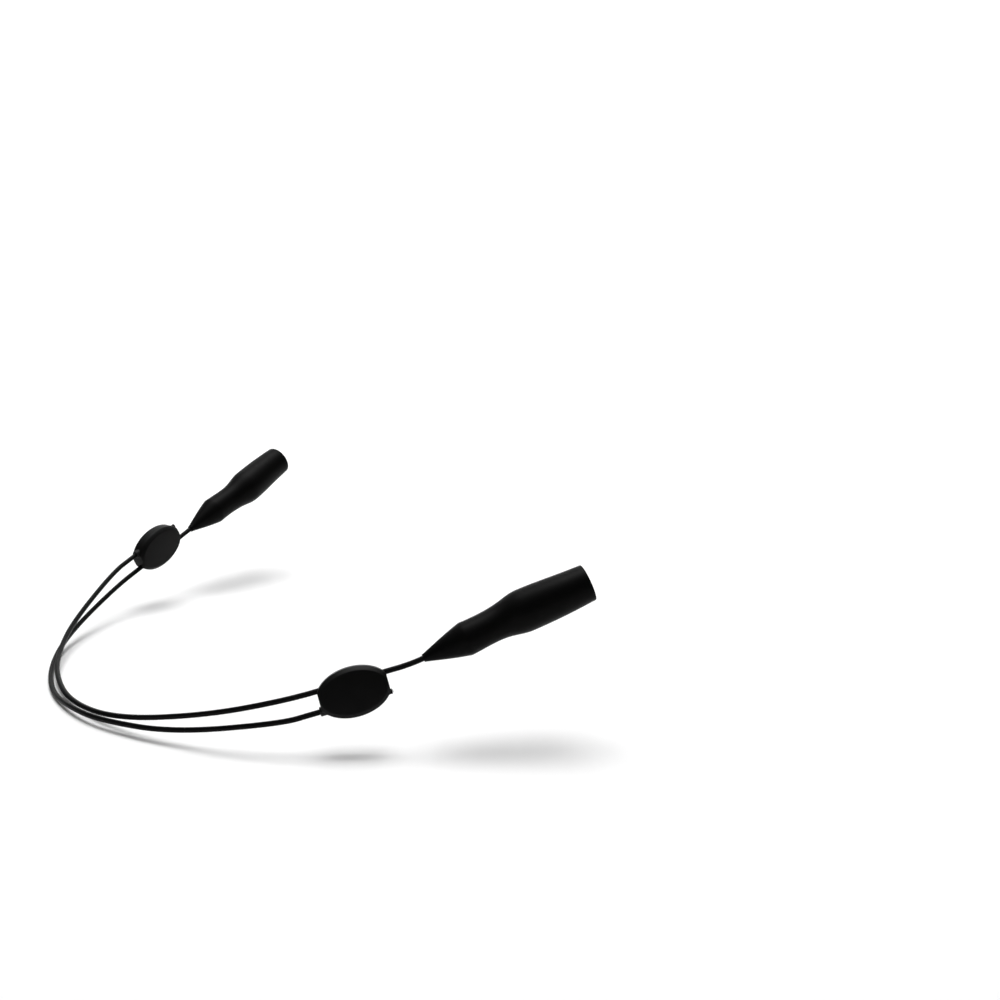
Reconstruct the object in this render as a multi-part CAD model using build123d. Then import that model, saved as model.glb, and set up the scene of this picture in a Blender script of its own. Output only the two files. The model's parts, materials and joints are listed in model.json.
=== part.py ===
from build123d import *
import math
import os

# Eyeglass retainer strap: two silicone sleeves that push onto the temple tips, two coated
# steel cables that form the loop behind the head, and two sliders that adjust it.
# The origin is the centre of the right sleeve's mouth, just inside its rounded lip, where
# the temple tip goes in.
# +X points forward along the temples, +Y to the wearer's left, +Z up. Millimetres.

# Sleeve, measured along its axis from the tip of the nose
SLEEVE_LENGTH = 40.2
TIP_RADIUS = 0.95
NOSE_LENGTH = 10.1
CREASE_RADIUS = 3.87
NOSE_BULGE = 0.12
WAIST_AT = 14.9
WAIST_RADIUS = 3.73
SHOULDER_AT = 19.2
SHOULDER_RADIUS = 3.99
SWELL_AT = 24.7
SWELL_RADIUS = 4.91
MOUTH_RADIUS = 4.25
BACK_BULGE = 0.06
SOCKET_RADIUS = 2.55
SOCKET_DEPTH = 25.2
SOCKET_HEEL = 0.60
MOUTH_LIP = 0.20
EXIT_HOLE_RADIUS = 0.74

# Crimp that anchors the cable inside the nose, free to turn in its pocket
CRIMP_START = 6.0
CRIMP_LENGTH = 5.0
CRIMP_RADIUS = 1.30
CRIMP_GAP = 0.05

# Cable: stranded steel core in a black jacket
CABLE_RADIUS = 0.64
CORE_RADIUS = 0.36
JACKET_BORE = 0.38
CRIMP_BORE = 0.66
CABLE_INSIDE = 10.5
CORE_PROUD = 0.25

# Slider: a flat oval with its two ends cut square
SLIDER_HALF_LENGTH = 7.75
SLIDER_OVAL_HALF_LENGTH = 8.35
SLIDER_HALF_WIDTH = 5.45
SLIDER_THICKNESS = 4.50
SLIDER_BEVEL = 0.90
HOLE_OFFSET = 2.25
CABLE_HOLE_RADIUS = 0.69
HOLE_MOUTH = 0.25
FERRULE_RADIUS = 1.05
FERRULE_DEPTH = 9.0
FERRULE_PROUD = 0.45
FERRULE_LIP = 0.15
FERRULE_FLARE = 1.4
FERRULE_MOUTH = 0.77
STUB = 0.30

# Where the two sleeves stand, in the pose of a strap that hangs from a pair of glasses
# whose loop lies on the table: the left mouth's centre, and how the axes toe in and drop.
LEFT_MOUTH = (-1.3, 163.9, -1.8)
RIGHT_SLEEVE_TOE_IN = 19.4
RIGHT_SLEEVE_DROP = 22.8
LEFT_SLEEVE_TOE_IN = 22.4
LEFT_SLEEVE_DROP = 21.8

# The straight stretch of cable behind each sleeve, with the slider on it
RIGHT_RUN_TOE_IN = 21.6
RIGHT_RUN_DROP = 14.5
RIGHT_SLIDER_AT = 16.5
RIGHT_SLIDER_LEAN = 14.5
LEFT_RUN_TOE_IN = 24.8
LEFT_RUN_DROP = 20.0
LEFT_SLIDER_AT = 13.5
LEFT_SLIDER_LEAN = -1.7
BEND_OUT = 3.0
RUN_LENGTH = 28.2
FIXED_RUN_LENGTH = 17.0

# Loop points between the straight stretches, chosen by hand, right to left
RIGHT_LOOP = [
    (-77.0, 34.2, -28.1),
    (-90.1, 54.7, -33.3),
    (-94.5, 75.0, -35.1),
    (-92.7, 92.6, -34.0),
    (-87.4, 106.5, -32.4),
    (-79.7, 119.5, -29.7),
]
LEFT_LOOP = [
    (-82.6, 39.2, -32.7),
    (-92.9, 57.1, -33.9),
    (-96.1, 70.0, -34.4),
    (-96.0, 85.4, -35.35),
    (-90.3, 104.6, -35.3),
    (-80.6, 120.8, -33.2),
]


def heading(toe_in, drop, side):
    """Unit direction from a mouth towards the loop; side is 1 for the right half."""
    level = math.cos(math.radians(drop))
    return Vector(
        -level * math.cos(math.radians(toe_in)),
        side * level * math.sin(math.radians(toe_in)),
        -math.sin(math.radians(drop)),
    )


def width_direction(run, lean):
    """Upward direction across a slider that hangs on a run, leaning towards +Y."""
    up = (Vector(0, 0, 1) - run * run.Z).normalized()
    across = up.cross(run)
    across = across if across.Y > 0 else -across
    return up * math.cos(math.radians(lean)) + across * math.sin(math.radians(lean))


class Half:
    """One side of the strap: where its sleeve, straight run and slider lie."""

    def __init__(self, mouth, sleeve, run, slider_at, lean, through):
        self.sleeve = sleeve
        self.run = run
        self.tip = mouth + sleeve * (SLEEVE_LENGTH - MOUTH_LIP)
        self.up = width_direction(run, lean)
        self.anchor = self.tip - sleeve * CABLE_INSIDE
        self.bend = self.tip + sleeve * BEND_OUT
        self.through_centre = self.bend + run * (slider_at - BEND_OUT)
        self.slider_centre = self.through_centre - self.up * through
        self.fixed_centre = self.slider_centre - self.up * through
        self.through = through
        self.run_end = self.bend + run * RUN_LENGTH

    def run_points(self):
        """Cable from its anchor in the nose to the end of its straight run."""
        return [self.anchor, self.bend, self.run_end]

    def fixed_points(self):
        """The other side's cable, from the loop to its cut end past this slider."""
        corner = self.fixed_centre + self.run * FIXED_RUN_LENGTH
        end = self.fixed_centre - self.run * (SLIDER_HALF_LENGTH + STUB)
        return [corner, end]


RIGHT = Half(
    Vector(0, 0, 0),
    heading(RIGHT_SLEEVE_TOE_IN, RIGHT_SLEEVE_DROP, 1),
    heading(RIGHT_RUN_TOE_IN, RIGHT_RUN_DROP, 1),
    RIGHT_SLIDER_AT,
    RIGHT_SLIDER_LEAN,
    HOLE_OFFSET,
)
LEFT = Half(
    Vector(*LEFT_MOUTH),
    heading(LEFT_SLEEVE_TOE_IN, LEFT_SLEEVE_DROP, -1),
    heading(LEFT_RUN_TOE_IN, LEFT_RUN_DROP, -1),
    LEFT_SLIDER_AT,
    LEFT_SLIDER_LEAN,
    -HOLE_OFFSET,
)


def sleeve(half):
    """Moulded sleeve: cone nose, crease, waist and swell, with a blind socket."""
    nose_middle = ((TIP_RADIUS + CREASE_RADIUS) / 2 + NOSE_BULGE, NOSE_LENGTH / 2)
    back_middle = ((SWELL_RADIUS + MOUTH_RADIUS) / 2 + BACK_BULGE, (SWELL_AT + SLEEVE_LENGTH) / 2)
    crease = (CREASE_RADIUS, NOSE_LENGTH)
    waist = (WAIST_RADIUS, WAIST_AT)
    shoulder = (SHOULDER_RADIUS, SHOULDER_AT)
    swell = (SWELL_RADIUS, SWELL_AT)
    mouth = (MOUTH_RADIUS, SLEEVE_LENGTH)
    outline = Wire(
        [
            Edge.make_line((0, 0), (TIP_RADIUS, 0)),
            Edge.make_three_point_arc((TIP_RADIUS, 0), nose_middle, crease),
            Edge.make_spline([crease, waist, shoulder, swell], [(-0.04, 1), (0, 1)]),
            Edge.make_three_point_arc(swell, back_middle, mouth),
            Edge.make_line(mouth, (0, SLEEVE_LENGTH)),
            Edge.make_line((0, SLEEVE_LENGTH), (0, 0)),
        ]
    )
    body = revolve(Plane.XZ * Face(outline), Axis.Z)
    socket_floor = SLEEVE_LENGTH - SOCKET_DEPTH
    pocket_start = CRIMP_START - CRIMP_GAP
    pocket_length = CRIMP_LENGTH + 2 * CRIMP_GAP
    socket = bore(SOCKET_RADIUS, socket_floor, SOCKET_DEPTH + 1)
    body -= fillet(socket.edges().sort_by(Axis.Z)[0], SOCKET_HEEL)
    rims = body.edges().filter_by(GeomType.CIRCLE)
    inner_rims = rims.filter_by(lambda e: e.radius < SOCKET_RADIUS + 0.01)
    body = fillet(inner_rims.sort_by(Axis.Z)[-1], MOUTH_LIP)
    body -= bore(EXIT_HOLE_RADIUS, -1, CRIMP_START + 2)
    body -= bore(CRIMP_RADIUS + CRIMP_GAP, pocket_start, pocket_length)
    return nose_frame(half) * body


def bore(radius, start, length):
    """A round tool along +Z, from start."""
    return Pos(0, 0, start + length / 2) * Cylinder(radius, length)


def nose_frame(half):
    """Places a piece made along +Z, with its zero at the tip, on a sleeve's axis."""
    return Plane(origin=half.tip, z_dir=-half.sleeve).location


def sleeve_crimp(half):
    """Crimped tube on the cable's anchored end, in the pocket of the nose."""
    tube = bore(CRIMP_RADIUS, CRIMP_START, CRIMP_LENGTH)
    tube -= bore(CRIMP_BORE, CRIMP_START - 1, CRIMP_LENGTH + 2)
    return nose_frame(half) * tube


def slider_frame(half):
    """A slider's own frame: X towards the loop, Y up across it, Z out of its face."""
    return Plane(
        origin=half.slider_centre, x_dir=half.run, z_dir=half.run.cross(half.up)
    ).location


def along_x(radius, start, length, height):
    """A round tool along +X of the slider's frame, at a height across it."""
    middle = Pos(start + length / 2, height, 0)
    return middle * Rot(0, 90, 0) * Cylinder(radius, length)


def slider(half):
    """Flat oval body with a running hole and a stepped hole for the fixed ferrule."""
    oval = extrude(
        Ellipse(SLIDER_OVAL_HALF_LENGTH, SLIDER_HALF_WIDTH), SLIDER_THICKNESS / 2, both=True
    )
    rims = oval.edges().filter_by(lambda e: abs(e.center().Z) > SLIDER_THICKNESS / 2 - 0.01)
    body = chamfer(rims, SLIDER_BEVEL)
    body &= Box(2 * SLIDER_HALF_LENGTH, 3 * SLIDER_HALF_WIDTH, 2 * SLIDER_THICKNESS)
    whole = 2 * SLIDER_HALF_LENGTH
    body -= along_x(CABLE_HOLE_RADIUS, -whole, 2 * whole, half.through)
    body -= along_x(CABLE_HOLE_RADIUS, -whole, 2 * whole, -half.through)
    body -= along_x(
        FERRULE_RADIUS, SLIDER_HALF_LENGTH - FERRULE_DEPTH, FERRULE_DEPTH + 1, -half.through
    )
    for end in (-1, 1):
        rim = CABLE_HOLE_RADIUS + 2 * HOLE_MOUTH
        flare = Rot(0, end * 90, 0) * Cone(CABLE_HOLE_RADIUS, rim, 2 * HOLE_MOUTH)
        body -= Pos(end * SLIDER_HALF_LENGTH, half.through, 0) * flare
    return slider_frame(half) * body


def slider_ferrule(half):
    """Crimped tube that fixes the other side's cable in the slider."""
    start = SLIDER_HALF_LENGTH - FERRULE_DEPTH
    tube = along_x(FERRULE_RADIUS, start, FERRULE_DEPTH + FERRULE_PROUD, -half.through)
    outer_end = tube.edges().filter_by(GeomType.CIRCLE).sort_by(Axis.X)[-1]
    tube = chamfer(outer_end, FERRULE_LIP)
    tube -= along_x(CRIMP_BORE, start - 1, FERRULE_DEPTH + 3, -half.through)
    flare = Rot(0, 90, 0) * Cone(CRIMP_BORE, FERRULE_MOUTH, FERRULE_FLARE)
    tube -= Pos(SLIDER_HALF_LENGTH + FERRULE_PROUD - FERRULE_FLARE / 2, -half.through, 0) * flare
    return slider_frame(half) * tube


def cable_path(points):
    """Straight runs joined by tangent arcs, each as large as its two runs allow."""
    points = [Vector(p) for p in points]
    runs = [b - a for a, b in zip(points, points[1:])]
    radii = []
    for before, after in zip(runs, runs[1:]):
        half_turn = math.radians(before.get_angle(after)) / 2
        radii.append(0.45 * min(before.length, after.length) / math.tan(half_turn))
    return FilletPolyline(*points, radius=radii), radii


def swept(path, section, name):
    """A tube along a path, with its volume compared with section times length."""
    start = Plane(origin=path @ 0, z_dir=path % 0)
    solid = sweep(start * section, path=path)
    ratio = solid.volume / (section.area * path.length)
    print(f"{name}: length {path.length:.1f} mm, volume over section x length {ratio:.4f}")
    return solid


def cable(points, name):
    """The jacket and the core of one cable."""
    path, radii = cable_path(points)
    print(f"{name}: radii", ", ".join(f"{r:.0f}" for r in radii))
    jacket = swept(path, Circle(CABLE_RADIUS) - Circle(JACKET_BORE), name)
    core = swept(path, Circle(CORE_RADIUS), f"{name}_core")
    end_plane = Plane(origin=path @ 1, z_dir=path % 1)
    core += extrude(end_plane * Circle(CORE_RADIUS), CORE_PROUD)
    return jacket, core


def main():
    os.makedirs("parts", exist_ok=True)
    nodes = {}
    for side, half in (("right", RIGHT), ("left", LEFT)):
        nodes[f"{side}_sleeve"] = sleeve(half)
        nodes[f"{side}_sleeve_crimp"] = sleeve_crimp(half)
        nodes[f"{side}_slider"] = slider(half)
        nodes[f"{side}_slider_ferrule"] = slider_ferrule(half)
    right_route = RIGHT.run_points() + RIGHT_LOOP + LEFT.fixed_points()
    left_route = LEFT.run_points() + LEFT_LOOP[::-1] + RIGHT.fixed_points()
    for side, route in (("right", right_route), ("left", left_route)):
        jacket, core = cable(route, f"{side}_cable")
        nodes[f"{side}_cable"] = jacket
        nodes[f"{side}_cable_core"] = core
    for name, shape in nodes.items():
        shape.label = name
        export_step(shape, f"parts/{name}.step")


main()
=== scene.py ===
import json
import math

import bmesh
import bpy
from mathutils import Matrix, Vector
from mathutils.geometry import interpolate_bezier


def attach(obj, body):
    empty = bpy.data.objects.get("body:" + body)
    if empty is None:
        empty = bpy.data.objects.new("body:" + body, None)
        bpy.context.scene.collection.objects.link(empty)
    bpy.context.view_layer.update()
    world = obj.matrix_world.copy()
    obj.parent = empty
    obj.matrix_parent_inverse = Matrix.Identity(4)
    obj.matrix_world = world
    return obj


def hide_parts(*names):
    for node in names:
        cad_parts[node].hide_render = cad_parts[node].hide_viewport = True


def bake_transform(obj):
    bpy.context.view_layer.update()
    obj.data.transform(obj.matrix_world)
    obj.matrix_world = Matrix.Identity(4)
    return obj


# Looks of an eyeglass retainer strap: two silicone sleeves, two coated steel cables and two
# sliders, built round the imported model. Metres, in the model's frame; MM turns millimetres
# into metres.

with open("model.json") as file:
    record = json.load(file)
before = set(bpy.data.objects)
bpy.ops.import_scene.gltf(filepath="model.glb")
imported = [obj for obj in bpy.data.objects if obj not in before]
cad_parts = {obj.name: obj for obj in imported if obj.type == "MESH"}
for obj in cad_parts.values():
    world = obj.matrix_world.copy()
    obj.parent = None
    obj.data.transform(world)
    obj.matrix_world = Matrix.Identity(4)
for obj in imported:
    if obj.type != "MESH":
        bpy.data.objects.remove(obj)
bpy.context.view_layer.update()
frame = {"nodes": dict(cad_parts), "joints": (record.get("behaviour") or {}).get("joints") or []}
MM = 0.001
JOINTS = {joint["name"]: joint for joint in frame["joints"]}

# Sleeve outline, from the tip of the nose towards the mouth
SLEEVE_LENGTH = 40.2 * MM
MOUTH_LIP = 0.20 * MM
TIP_RADIUS = 0.95 * MM
NOSE_LENGTH = 10.1 * MM
CREASE_RADIUS = 3.87 * MM
WAIST_AT = 14.9 * MM
WAIST_RADIUS = 3.73 * MM
SHOULDER_AT = 19.2 * MM
SHOULDER_RADIUS = 3.99 * MM
SWELL_AT = 24.7 * MM
SWELL_RADIUS = 4.91 * MM
MOUTH_RADIUS = 4.25 * MM
BODY_SLOPES = [-0.04, -0.005, 0.150, 0.0, -0.053]
SOCKET_RADIUS = 2.55 * MM
SOCKET_DEPTH = 25.2 * MM
SOCKET_HEEL = 0.60 * MM
EXIT_HOLE_RADIUS = 0.74 * MM
POCKET_START = 5.95 * MM
POCKET_END = 11.05 * MM
POCKET_RADIUS = 1.35 * MM
TIP_ROUNDING = 0.12 * MM
MOUTH_ROUNDING = 0.25 * MM
NOSE_START = 0.35 * MM
NOSE_SLOPES = [0.33, 0.245]
CREASE_HALF_WIDTH = 0.15 * MM
CREASE_STEP = 0.03 * MM
SLEEVE_SEGMENTS = 96

# Crimps and cable
CRIMP_START = 6.0 * MM
CRIMP_LENGTH = 5.0 * MM
CRIMP_RADIUS = 1.30 * MM
CRIMP_BORE = 0.66 * MM
CRIMP_EDGE = 0.12 * MM
GROOVE_PLACES = (0.3, 0.7)
GROOVE_DEPTH = 0.14 * MM
GROOVE_HALF_FLOOR = 0.3 * MM
GROOVE_HALF_WIDTH = 0.6 * MM
TUBE_SEGMENTS = 40
CABLE_RADIUS = 0.64 * MM
JACKET_BORE = 0.38 * MM
CORE_RADIUS = 0.36 * MM
CORE_PROUD = 0.25 * MM
CABLE_INSIDE = 10.5 * MM
STRANDS = 6
COATING_GROOVE = 0.014 * MM
STRAND_GROOVE = 0.09 * MM
STRAND_LAY = 6.0 * MM
LINE_STEPS = 40

# Sliders and the ferrules in them
SLIDER_HALF_LENGTH = 7.75 * MM
HOLE_OFFSET = 2.25 * MM
FERRULE_RADIUS = 1.05 * MM
FERRULE_LENGTH = 9.45 * MM
FERRULE_START = -1.25 * MM
FERRULE_ROUNDING = 0.2 * MM
FERRULE_EDGE = 0.1 * MM
FERRULE_MOUTH_EDGE = 0.08 * MM
STUB = 0.30 * MM
SLIDER_ROUNDING = 0.16 * MM
SLIDER_FLAT_ANGLE = math.radians(0.5)
SLIDER_SHARP_ANGLE = math.radians(22)

# Where the cable bends outside each sleeve, how long its straight run is, where the slider
# sits on it and how it leans, and on which side of the slider's middle its own cable runs
BEND_OUT = 3.0 * MM
RUN_LENGTH = 28.2 * MM
FIXED_RUN_LENGTH = 17.0 * MM
SLIDER_AT = {"right": 16.5 * MM, "left": 13.5 * MM}
SLIDER_LEAN = {"right": 14.5, "left": -1.7}
THROUGH_SIDE = {"right": 1, "left": -1}

# Added points on the long straight stretches, measured back from or on from their ends
INSIDE_NOSE = 3.0 * MM
AFTER_BEND = 6.0 * MM
BEFORE_RUN_END = 12.0 * MM
AFTER_CORNER = 7.5 * MM

# Loop points between the straight stretches, in millimetres, right to left
RIGHT_LOOP = [
    (-77.0, 34.2, -28.1),
    (-90.1, 54.7, -33.3),
    (-94.5, 75.0, -35.1),
    (-92.7, 92.6, -34.0),
    (-87.4, 106.5, -32.4),
    (-79.7, 119.5, -29.7),
]
LEFT_LOOP = [
    (-82.6, 39.2, -32.7),
    (-92.9, 57.1, -33.9),
    (-96.1, 70.0, -34.4),
    (-96.0, 85.4, -35.35),
    (-90.3, 104.6, -35.3),
    (-80.6, 120.8, -33.2),
]

# How far a temple bends each sleeve inwards, and the stretch of the sleeve that bends
SLEEVE_BOW = {"right": 0.97 * MM, "left": 0.73 * MM}
BOW_START = 10.0 * MM
BOW_PEAK = 21.0 * MM
BOW_END = 37.5 * MM

# Resting surface, camera and light
TABLE_HEIGHT = -36.02 * MM
SHEET_HALF = 2.5
SWEEP_START = 0.9
SWEEP_RADIUS = 0.6
SURROUNDINGS = 0.12
KEY_POWER = 24
OVERHEAD_POWER = 5
WALL_POWER = 20
KEY_HEIGHT = 1.95
OVERHEAD_HEIGHT = 1.3
WALL_LIGHT_HEIGHT = 1.5
LIGHT_AHEAD = 0.3
WALL_AHEAD = 1.6
CAMERA_PLACE = Vector((-190.84, -262.09, 92.59)) * MM
CAMERA_HEADING = math.radians(57.455)
CAMERA_DOWN = math.radians(12.219)
CAMERA_ROLL = math.radians(1.113)
CAMERA_LENS = 54.42
CAMERA_SHIFT_Y = -0.01805


class Half:
    """One side of the strap: its sleeve's axis, its straight run and its slider."""

    def __init__(self, side):
        swivel = JOINTS[f"{side}_sleeve_swivel"]
        self.side = side
        self.sleeve = -Vector(swivel["axis"]).normalized()
        self.run = Vector(JOINTS[f"{side}_slider_slide"]["axis"]).normalized()
        self.tip = Vector(swivel["pos_m"]) + self.sleeve * (SLEEVE_LENGTH - MOUTH_LIP)
        self.bend = self.tip + self.sleeve * BEND_OUT
        up = self.slider_up(math.radians(SLIDER_LEAN[side])) * THROUGH_SIDE[side]
        self.through_centre = self.bend + self.run * (SLIDER_AT[side] - BEND_OUT)
        self.fixed_centre = self.through_centre - up * 2 * HOLE_OFFSET

    def slider_up(self, lean):
        """Upward direction across the slider, leaning towards +Y."""
        up = (Vector((0, 0, 1)) - self.run * self.run.z).normalized()
        across = up.cross(self.run)
        across = across if across.y > 0 else -across
        return up * math.cos(lean) + across * math.sin(lean)

    def inward(self):
        """Level direction across the sleeve, towards the middle of the strap."""
        across = self.sleeve.cross(Vector((0, 0, 1))).normalized()
        return across if across.y * self.sleeve.y > 0 else -across

    def nose_place(self):
        """Places a piece made along +Z, from zero at the tip, on the sleeve's axis."""
        return Matrix.Translation(self.tip) @ turn_to(-self.sleeve)

    def hole_place(self, centre):
        """Places a piece made along +Z on a hole of the slider, pointing to the loop."""
        return Matrix.Translation(centre) @ turn_to(self.run)


def turn_to(direction):
    """Turns +Z to a direction."""
    return Vector((0, 0, 1)).rotation_difference(direction).to_matrix().to_4x4()


RIGHT = Half("right")
LEFT = Half("left")


# ---------------------------------------------------------------- shared mesh work


def finished(bm, name, material, smooth_below=40):
    """Turns a bmesh into a piece with one material, smooth except at sharp edges."""
    mesh = bpy.data.meshes.new(name)
    bm.to_mesh(mesh)
    bm.free()
    mesh.shade_smooth()
    mesh.set_sharp_from_angle(angle=math.radians(smooth_below))
    mesh.materials.append(material)
    piece = bpy.data.objects.new(name, mesh)
    bpy.context.scene.collection.objects.link(piece)
    return piece


def turned(outline, segments):
    """Spins an outline of (radius, height) round the Z axis into a closed skin."""
    bm = bmesh.new()
    points = [bm.verts.new((radius, 0, height)) for radius, height in outline]
    edges = [bm.edges.new(pair) for pair in zip(points, points[1:])]
    bmesh.ops.spin(
        bm,
        geom=points + edges,
        cent=(0, 0, 0),
        axis=(0, 0, 1),
        angle=math.tau,
        steps=segments,
        use_merge=True,
    )
    bmesh.ops.remove_doubles(bm, verts=bm.verts, dist=0.001 * MM)
    bmesh.ops.recalc_face_normals(bm, faces=bm.faces)
    return bm


def rounded(corner, before, after, radius, steps=4):
    """Points that round an outline's corner, from the side of before to the side of after."""
    corner, before, after = Vector(corner), Vector(before), Vector(after)
    start = corner + (before - corner).normalized() * radius
    end = corner + (after - corner).normalized() * radius
    toward_start = start.lerp(corner, 0.55)
    toward_end = end.lerp(corner, 0.55)
    return interpolate_bezier(start, toward_start, toward_end, end, steps)


def swept_curve(knots, slopes, steps):
    """Points of a smooth outline through knots (radius, height) with a slope at each."""
    points = []
    for (a, b), (slope_a, slope_b) in zip(zip(knots, knots[1:]), zip(slopes, slopes[1:])):
        a, b = Vector(a), Vector(b)
        third = (b.y - a.y) / 3
        handle_a = a + Vector((slope_a, 1)) * third
        handle_b = b - Vector((slope_b, 1)) * third
        points += interpolate_bezier(a, handle_a, handle_b, b, steps)[:-1]
    return points + [Vector(knots[-1])]


# ---------------------------------------------------------------- finishes


class Value:
    """A socket whose arithmetic adds Math nodes."""

    def __init__(self, tree, socket):
        self.tree = tree
        self.socket = socket

    def math(self, operation, first, second):
        node = self.tree.nodes.new("ShaderNodeMath")
        node.operation = operation
        for place, operand in zip(node.inputs, (first, second)):
            join(self.tree, place, operand)
        return Value(self.tree, node.outputs[0])

    def __add__(self, other):
        return self.math("ADD", self, other)

    def __radd__(self, other):
        return self.math("ADD", other, self)

    def __sub__(self, other):
        return self.math("SUBTRACT", self, other)

    def __rsub__(self, other):
        return self.math("SUBTRACT", other, self)

    def __mul__(self, other):
        return self.math("MULTIPLY", self, other)

    def __rmul__(self, other):
        return self.math("MULTIPLY", other, self)


def join(tree, place, value):
    """Links a socket to a place, or sets the place to a number or colour."""
    if isinstance(value, Value):
        tree.links.new(value.socket, place)
    else:
        place.default_value = value


class Finish:
    """A material whose nodes are added one call at a time."""

    def __init__(self, name, **constants):
        self.material = bpy.data.materials.new(name)
        self.material.use_nodes = True
        self.tree = self.material.node_tree
        self.shader = self.tree.nodes["Principled BSDF"]
        for socket, value in constants.items():
            self.shader.inputs[socket.replace("_", " ")].default_value = value
        self.place = self.node("ShaderNodeTexCoord", output="Object")

    def node(self, kind, settings=(), sockets=(), output=0):
        """Any node: its settings first, then its sockets, by name or number."""
        node = self.tree.nodes.new(kind)
        for setting, value in dict(settings).items():
            setattr(node, setting, value)
        for place, value in dict(sockets).items():
            join(self.tree, node.inputs[place], value)
        return Value(self.tree, node.outputs[output])

    def noise(self, size, detail=3.0, roughness=0.55):
        """Noise whose features are about that size across, from 0 to 1."""
        sockets = {"Vector": self.place, "Scale": 1 / size, "Detail": detail}
        return self.node("ShaderNodeTexNoise", sockets={**sockets, "Roughness": roughness})

    def tint(self, amount, low, high):
        """A colour between two, by an amount from 0 to 1."""
        sockets = {0: amount, 6: colour(low), 7: colour(high)}
        return self.node("ShaderNodeMix", {"data_type": "RGBA"}, sockets, output=2)

    def mask(self, value, low, high):
        """0 below low, 1 above high, smooth between."""
        settings = {"interpolation_type": "SMOOTHSTEP"}
        sockets = {"Value": value, "From Min": low, "From Max": high}
        return self.node("ShaderNodeMapRange", settings, sockets)

    def bump(self, height, depth, strength):
        """A Bump node of that depth in metres."""
        sockets = {"Height": height, "Distance": depth, "Strength": strength}
        return self.node("ShaderNodeBump", sockets=sockets, output="Normal")

    def give(self, **sockets):
        """Feeds the shader's sockets."""
        for name, value in sockets.items():
            join(self.tree, self.shader.inputs[name.replace("_", " ")], value)
        return self.material


def colour(value):
    """A colour socket as it is, or a grey or red, green and blue with full opacity."""
    if isinstance(value, Value):
        return value
    return (value, value, value, 1) if isinstance(value, float) else (*value, 1)


def silicone():
    """Matte black moulded silicone with a fine grain, faint handling marks and dust."""
    finish = Finish("black_silicone", Specular_IOR_Level=0.055, IOR=1.42)
    cloud = finish.noise(6 * MM, detail=4)
    grain = finish.noise(0.16 * MM, detail=2)
    smear = finish.mask(finish.noise(2.4 * MM, detail=5, roughness=0.65), 0.52, 0.74)
    dust = finish.mask(finish.noise(0.32 * MM, detail=1), 0.74, 0.80)
    base = finish.tint(cloud, 0.0013, 0.0022)
    return finish.give(
        Base_Color=finish.tint(dust * 0.5, base, 0.007),
        Roughness=0.40 + cloud * 0.06 - smear * 0.06 + grain * 0.05,
        Normal=finish.bump(grain, 0.012 * MM, 0.5),
    )


def slider_plastic():
    """Matte black moulded plastic with a spark-eroded texture."""
    finish = Finish("black_plastic", Specular_IOR_Level=0.10, IOR=1.47)
    cloud = finish.noise(5 * MM, detail=3)
    grain = finish.noise(0.11 * MM, detail=3)
    scuff = finish.mask(finish.noise(1.3 * MM, detail=6, roughness=0.7), 0.58, 0.72)
    return finish.give(
        Base_Color=finish.tint(cloud, 0.0013, 0.0024),
        Roughness=0.40 + cloud * 0.07 + grain * 0.06 - scuff * 0.08,
        Normal=finish.bump(grain, 0.010 * MM, 0.6),
    )


def cable_coating():
    """Smooth black coating drawn over the strands of the wire."""
    finish = Finish("black_cable_coating", Specular_IOR_Level=0.07, IOR=1.5)
    cloud = finish.noise(3 * MM, detail=4)
    grain = finish.noise(0.09 * MM, detail=2)
    rub = finish.mask(finish.noise(0.9 * MM, detail=5, roughness=0.7), 0.55, 0.75)
    return finish.give(
        Base_Color=finish.tint(cloud, 0.0008, 0.0018),
        Roughness=0.30 + cloud * 0.10 + rub * 0.12,
        Normal=finish.bump(grain, 0.004 * MM, 0.5),
    )


def steel(name, low, high, roughness):
    """Steel with fine drawn or turned marks."""
    finish = Finish(name, Metallic=1.0)
    cloud = finish.noise(0.8 * MM, detail=4)
    scratch = finish.noise(0.05 * MM, detail=3)
    return finish.give(
        Base_Color=finish.tint(cloud, low, high),
        Roughness=roughness + scratch * 0.14,
        Normal=finish.bump(scratch, 0.002 * MM, 0.5),
    )


def table_top():
    """Plain white surface."""
    finish = Finish("pale_table", Specular_IOR_Level=0.1)
    cloud = finish.noise(0.4, detail=2)
    return finish.give(Base_Color=finish.tint(cloud, 0.90, 0.92), Roughness=0.8 + cloud * 0.05)


# ---------------------------------------------------------------- camera, table and light


def camera():
    """The viewing angle, from behind and to the right of the strap."""
    level = math.cos(CAMERA_DOWN)
    ahead = Vector(
        (
            level * math.cos(CAMERA_HEADING),
            level * math.sin(CAMERA_HEADING),
            -math.sin(CAMERA_DOWN),
        )
    )
    right = ahead.cross(Vector((0, 0, 1))).normalized()
    up = right.cross(ahead)
    rolled_right = right * math.cos(CAMERA_ROLL) + up * math.sin(CAMERA_ROLL)
    rolled_up = up * math.cos(CAMERA_ROLL) - right * math.sin(CAMERA_ROLL)
    data = bpy.data.cameras.new("camera")
    data.lens = CAMERA_LENS
    data.shift_y = CAMERA_SHIFT_Y
    data.clip_start = 0.01
    data.clip_end = 20
    eye = bpy.data.objects.new("camera", data)
    turn = Matrix((rolled_right, rolled_up, -ahead)).transposed().to_4x4()
    eye.matrix_world = Matrix.Translation(CAMERA_PLACE) @ turn
    bpy.context.scene.collection.objects.link(eye)
    bpy.context.scene.camera = eye


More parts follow.
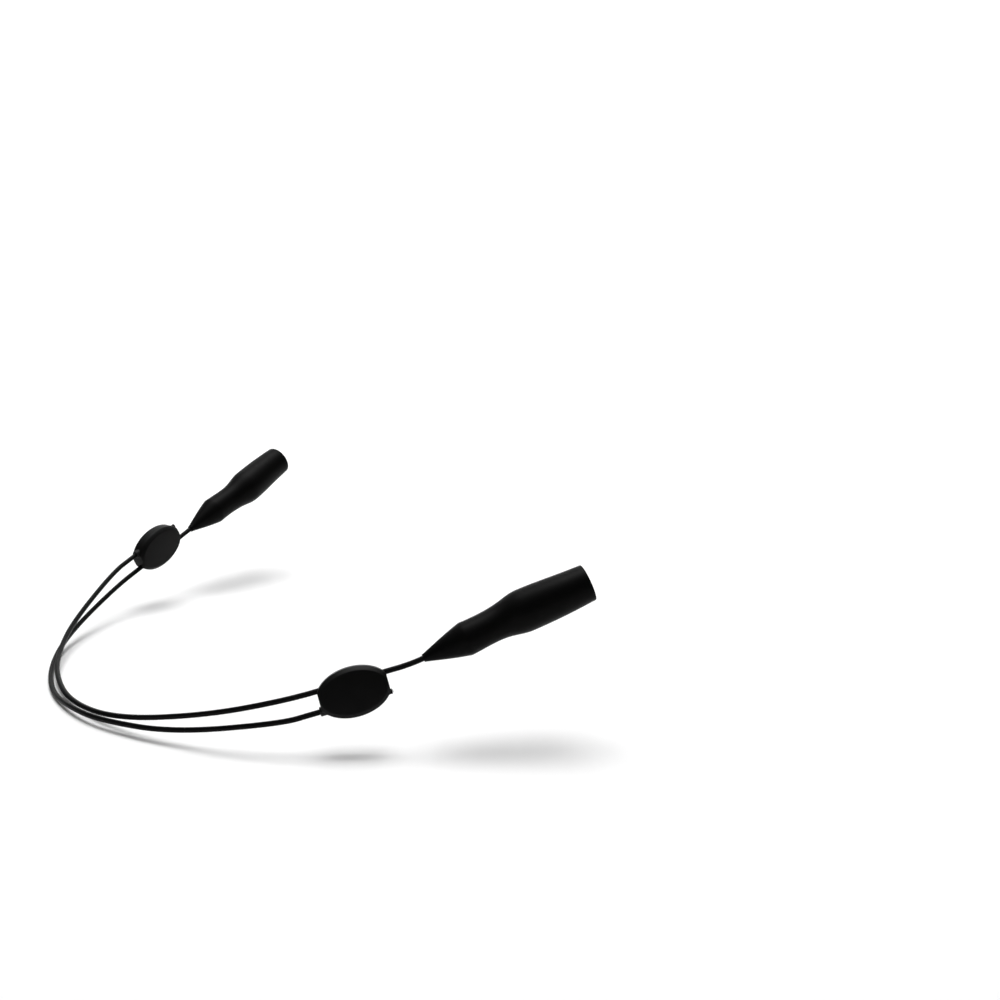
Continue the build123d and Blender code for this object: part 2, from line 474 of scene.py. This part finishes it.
def table():
    """A white sheet that the loop rests on, swept up into a wall far behind it."""
    bm = bmesh.new()
    bmesh.ops.create_grid(bm, x_segments=96, y_segments=2, size=SHEET_HALF)
    for vertex in bm.verts:
        past = vertex.co.x - SWEEP_START
        angle = min(max(past / SWEEP_RADIUS, 0), math.pi / 2)
        wall = max(past - SWEEP_RADIUS * math.pi / 2, 0)
        vertex.co.x = min(vertex.co.x, SWEEP_START) + SWEEP_RADIUS * math.sin(angle)
        vertex.co.z = TABLE_HEIGHT + SWEEP_RADIUS * (1 - math.cos(angle)) + wall
    bmesh.ops.rotate(bm, verts=bm.verts, matrix=Matrix.Rotation(CAMERA_HEADING, 3, "Z"))
    finished(bm, "table", table_top())


def soft_box(name, place, aim, size, power):
    """A square soft light."""
    data = bpy.data.lights.new(name, "AREA")
    data.shape = "SQUARE"
    data.size = size
    data.energy = power
    lamp = bpy.data.objects.new(name, data)
    lamp.matrix_world = Matrix.Translation(place) @ turn_to(Vector(place) - Vector(aim))
    bpy.context.scene.collection.objects.link(lamp)


def studio():
    """Dim surroundings, a key and a wide fill overhead, and a box that whitens the wall."""
    world = bpy.data.worlds.new("studio")
    world.use_nodes = True
    world.node_tree.nodes["Background"].inputs["Color"].default_value = (1, 1, 1, 1)
    world.node_tree.nodes["Background"].inputs["Strength"].default_value = SURROUNDINGS
    bpy.context.scene.world = world
    bpy.context.scene.view_settings.view_transform = "Standard"
    ahead = Vector((math.cos(CAMERA_HEADING), math.sin(CAMERA_HEADING), 0))
    up = Vector((0, 0, 1))
    middle = Vector((-0.05, 0.08, 0))
    above = middle + ahead * LIGHT_AHEAD
    soft_box("key_light", above + up * KEY_HEIGHT, middle, 1.2, KEY_POWER)
    soft_box("overhead_light", above + up * OVERHEAD_HEIGHT, middle, 2.2, OVERHEAD_POWER)
    before_wall = middle + ahead * 0.7 + up * WALL_LIGHT_HEIGHT
    soft_box("wall_light", before_wall, middle + ahead * WALL_AHEAD + up * 0.4, 1.4, WALL_POWER)


# ---------------------------------------------------------------- cables


def route(half, loop, other):
    """Control points of a cable: its own sleeve and run, the loop, then the far slider."""
    run_end = half.bend + half.run * RUN_LENGTH
    corner = other.fixed_centre + other.run * FIXED_RUN_LENGTH
    start = [
        half.tip - half.sleeve * CABLE_INSIDE,
        half.tip - half.sleeve * INSIDE_NOSE,
        half.bend,
        half.bend + half.run * AFTER_BEND,
        run_end - half.run * BEFORE_RUN_END,
        run_end,
    ]
    end = [
        corner,
        corner - other.run * AFTER_CORNER,
        other.fixed_centre - other.run * (SLIDER_HALF_LENGTH + STUB),
    ]
    return start + [Vector(point) * MM for point in loop] + end


def centreline(name, points):
    """Points along the NURBS spline through a cable's route."""
    data = bpy.data.curves.new(name, "CURVE")
    data.dimensions = "3D"
    data.resolution_u = LINE_STEPS
    spline = data.splines.new("NURBS")
    spline.points.add(len(points) - 1)
    for control, point in zip(spline.points, points):
        control.co = (*point, 1)
    spline.order_u = 3
    spline.use_endpoint_u = True
    line = bpy.data.objects.new(name, data)
    mesh = bpy.data.meshes.new_from_object(line)
    places = [vertex.co.copy() for vertex in mesh.vertices]
    bpy.data.meshes.remove(mesh)
    bpy.data.curves.remove(data)
    return places


def stations(places, lay_length):
    """A frame at each point of a line, turning once in each lay length."""
    frames = []
    turn = turn_to(places[1] - places[0]).to_quaternion()
    ahead = (places[1] - places[0]).normalized()
    along = 0.0
    for index, place in enumerate(places):
        before = places[max(index - 1, 0)]
        after = places[min(index + 1, len(places) - 1)]
        now = (after - before).normalized()
        turn = ahead.rotation_difference(now) @ turn
        ahead = now
        along += (place - before).length
        twist = Matrix.Rotation(math.tau * along / lay_length, 4, "Z")
        frames.append(Matrix.Translation(place) @ turn.to_matrix().to_4x4() @ twist)
    return frames


def lobed_ring(bm, radius, groove, per_strand=4):
    """A ring of vertices whose radius dips by groove between the strands."""
    made = bmesh.ops.create_circle(bm, segments=STRANDS * per_strand, radius=radius)
    for vertex in made["verts"]:
        angle = math.atan2(vertex.co.y, vertex.co.x)
        dip = groove * (1 - abs(math.cos(STRANDS * angle / 2)))
        vertex.co *= (radius - dip) / radius
    return made["verts"]


def extruded_ring(bm, edges, change):
    """Extrudes a ring of edges and moves the new ring by a matrix."""
    made = bmesh.ops.extrude_edge_only(bm, edges=edges)["geom"]
    verts = [item for item in made if isinstance(item, bmesh.types.BMVert)]
    bmesh.ops.transform(bm, matrix=change, verts=verts)
    return [item for item in made if isinstance(item, bmesh.types.BMEdge)]


def follow(bm, edges, frames):
    """Extrudes a ring that stands at the first frame through all the others."""
    for here, there in zip(frames, frames[1:]):
        edges = extruded_ring(bm, edges, there @ here.inverted())
    return edges


def coating(name, frames, material):
    """The cable's coating: a lobed skin outside, a round bore inside, open at no end."""
    bm = bmesh.new()
    ring = lobed_ring(bm, CABLE_RADIUS, COATING_GROOVE)
    bmesh.ops.transform(bm, matrix=frames[0], verts=ring)
    first = list(bm.edges)
    last = follow(bm, first, frames)
    shrink = frames[-1] @ Matrix.Scale(JACKET_BORE / CABLE_RADIUS, 4) @ frames[-1].inverted()
    inner = extruded_ring(bm, last, shrink)
    inner_last = follow(bm, inner, frames[::-1])
    bmesh.ops.bridge_loops(bm, edges=first + inner_last)
    bmesh.ops.recalc_face_normals(bm, faces=bm.faces)
    return finished(bm, name, material)


def core(name, frames, material):
    """The wire inside: six strands laid round a seventh, cut off square."""
    bm = bmesh.new()
    ring = lobed_ring(bm, CORE_RADIUS, STRAND_GROOVE)
    bmesh.ops.transform(bm, matrix=frames[0], verts=ring)
    first = list(bm.edges)
    beyond = frames[-1] @ Matrix.Translation((0, 0, CORE_PROUD))
    last = follow(bm, first, frames + [beyond])
    bmesh.ops.holes_fill(bm, edges=first + last)
    bmesh.ops.recalc_face_normals(bm, faces=bm.faces)
    return finished(bm, name, material)


def cable(half, other, loop, materials):
    """One cable with its wire; its far end runs to the other side's slider."""
    places = centreline(f"{half.side}_line", route(half, loop, other))
    frames = stations(places, STRAND_LAY)
    jacket = coating(f"{half.side}_coated_cable", frames, materials["coating"])
    wire = core(f"{half.side}_wire_core", frames, materials["wire"])
    slider_side = other.fixed_centre + other.run * SLIDER_HALF_LENGTH
    pieces = ((jacket, "cable", "cable_jacket"), (wire, "cable_core", "cable_steel"))
    for piece, node, slot in pieces:
        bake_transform(piece)
        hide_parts(f"{half.side}_{node}")


# ---------------------------------------------------------------- sleeves, sliders and crimps


def bow(half, bm):
    """Bends a sleeve made along +Z inwards, as the temple inside it does."""
    inward = half.nose_place().to_3x3().inverted() @ half.inward() * SLEEVE_BOW[half.side]
    for vertex in bm.verts:
        height = min(max(vertex.co.z, BOW_START), BOW_END)
        end = BOW_START if height < BOW_PEAK else BOW_END
        fall = (height - BOW_PEAK) / (end - BOW_PEAK)
        vertex.co += inward * (0.5 + 0.5 * math.cos(math.pi * fall))


def sleeve(half, material):
    """Sleeve with a cone nose, a crease, a waist, a swell and an open socket."""
    end = SLEEVE_LENGTH
    floor = SLEEVE_LENGTH - SOCKET_DEPTH
    nose = swept_curve(
        [
            (TIP_RADIUS, NOSE_START),
            (CREASE_RADIUS - CREASE_STEP, NOSE_LENGTH - CREASE_HALF_WIDTH),
        ],
        NOSE_SLOPES,
        10,
    )
    body = swept_curve(
        [
            (CREASE_RADIUS, NOSE_LENGTH + CREASE_HALF_WIDTH),
            (WAIST_RADIUS, WAIST_AT),
            (SHOULDER_RADIUS, SHOULDER_AT),
            (SWELL_RADIUS, SWELL_AT),
            (MOUTH_RADIUS, end - MOUTH_ROUNDING),
        ],
        BODY_SLOPES,
        12,
    )
    outer_rim, inner_rim, foot = (MOUTH_RADIUS, end), (SOCKET_RADIUS, end), (SOCKET_RADIUS, floor)
    lip_outside = rounded(outer_rim, body[-1], inner_rim, MOUTH_ROUNDING)
    lip_inside = rounded(inner_rim, outer_rim, foot, MOUTH_LIP)
    heel = rounded(foot, inner_rim, (0, floor), SOCKET_HEEL)
    tip = rounded((TIP_RADIUS, 0), (EXIT_HOLE_RADIUS, 0), nose[0], TIP_ROUNDING)
    outline = [(0, POCKET_END), (POCKET_RADIUS, POCKET_END), (POCKET_RADIUS, POCKET_START)]
    outline += [(EXIT_HOLE_RADIUS, POCKET_START), (EXIT_HOLE_RADIUS, 0.1 * MM)]
    outline += [tuple(point) for point in tip + nose + body + lip_outside + lip_inside]
    outline += straight_wall(lip_inside[-1], heel[0]) + [tuple(point) for point in heel]
    outline.append((0, floor))
    bm = turned(outline, SLEEVE_SEGMENTS)
    bow(half, bm)
    bmesh.ops.transform(bm, matrix=half.nose_place(), verts=bm.verts)
    piece = finished(bm, f"{half.side}_silicone_sleeve", material, 50)
    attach(piece, f"{half.side}_sleeve")
    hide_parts(f"{half.side}_sleeve")


def straight_wall(top, bottom):
    """Points between two, so that a straight wall can bend."""
    return [tuple(top.lerp(bottom, step / 12)) for step in range(1, 12)]


def sleeve_crimp(half, material):
    """Tube squeezed on the cable's anchored end, with two crimp grooves."""
    grooves = []
    for place in GROOVE_PLACES:
        at = CRIMP_START + CRIMP_LENGTH * place
        grooves += [
            (CRIMP_RADIUS, at - GROOVE_HALF_WIDTH),
            (CRIMP_RADIUS - GROOVE_DEPTH, at - GROOVE_HALF_FLOOR),
            (CRIMP_RADIUS - GROOVE_DEPTH, at + GROOVE_HALF_FLOOR),
            (CRIMP_RADIUS, at + GROOVE_HALF_WIDTH),
        ]
    end = CRIMP_START + CRIMP_LENGTH
    outline = [(CRIMP_BORE, CRIMP_START), (CRIMP_RADIUS - CRIMP_EDGE, CRIMP_START)]
    outline += [(CRIMP_RADIUS, CRIMP_START + CRIMP_EDGE)] + grooves
    outline += [(CRIMP_RADIUS, end - CRIMP_EDGE), (CRIMP_RADIUS - CRIMP_EDGE, end)]
    outline += [(CRIMP_BORE, end), (CRIMP_BORE, CRIMP_START)]
    bm = turned(outline, TUBE_SEGMENTS)
    bmesh.ops.transform(bm, matrix=half.nose_place(), verts=bm.verts)
    piece = finished(bm, f"{half.side}_crimp_tube", material)
    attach(piece, "cables")
    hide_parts(f"{half.side}_sleeve_crimp")


def ferrule(half, material):
    """Tube that fixes the far cable in the slider, with a rounded outer end."""
    end = FERRULE_START + FERRULE_LENGTH
    lip = rounded((FERRULE_RADIUS, end), (FERRULE_RADIUS, 0), (CRIMP_BORE, end), FERRULE_ROUNDING)
    outline = [(CRIMP_BORE, FERRULE_START), (FERRULE_RADIUS - FERRULE_EDGE, FERRULE_START)]
    outline += [(FERRULE_RADIUS, FERRULE_START + FERRULE_EDGE)]
    outline += [tuple(point) for point in lip]
    outline += [(CRIMP_BORE + FERRULE_MOUTH_EDGE, end), (CRIMP_BORE, end - FERRULE_MOUTH_EDGE)]
    outline.append((CRIMP_BORE, FERRULE_START))
    bm = turned(outline, TUBE_SEGMENTS)
    bmesh.ops.transform(bm, matrix=half.hole_place(half.fixed_centre), verts=bm.verts)
    piece = finished(bm, f"{half.side}_ferrule_tube", material)
    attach(piece, f"{half.side}_slider")
    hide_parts(f"{half.side}_slider_ferrule")


def slider(half, material):
    """Slider body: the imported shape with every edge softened."""
    node = f"{half.side}_slider"
    bm = bmesh.new()
    bm.from_mesh(frame["nodes"][node].data)
    bmesh.ops.remove_doubles(bm, verts=bm.verts, dist=0.002 * MM)
    bmesh.ops.dissolve_limit(
        bm,
        angle_limit=SLIDER_FLAT_ANGLE,
        verts=bm.verts,
        edges=bm.edges,
        use_dissolve_boundaries=False,
    )
    sharp = [edge for edge in bm.edges if edge.calc_face_angle(0) > SLIDER_SHARP_ANGLE]
    bmesh.ops.bevel(
        bm,
        geom=sharp,
        offset=SLIDER_ROUNDING,
        segments=3,
        affect="EDGES",
        profile=0.5,
        material=-1,
    )
    piece = finished(bm, f"{half.side}_slider_body", material, 25)
    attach(piece, node)
    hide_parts(node)


# ---------------------------------------------------------------- the whole strap


def main():
    camera()
    coats = {"coating": cable_coating(), "wire": steel("wire_steel", 0.42, 0.60, 0.25)}
    rubber = silicone()
    plastic = slider_plastic()
    crimp = steel("blackened_steel", 0.012, 0.025, 0.45)
    cable(RIGHT, LEFT, RIGHT_LOOP, coats)
    cable(LEFT, RIGHT, LEFT_LOOP[::-1], coats)
    for half in (RIGHT, LEFT):
        sleeve(half, rubber)
        sleeve_crimp(half, crimp)
        slider(half, plastic)
        ferrule(half, crimp)
    table()
    studio()


main()
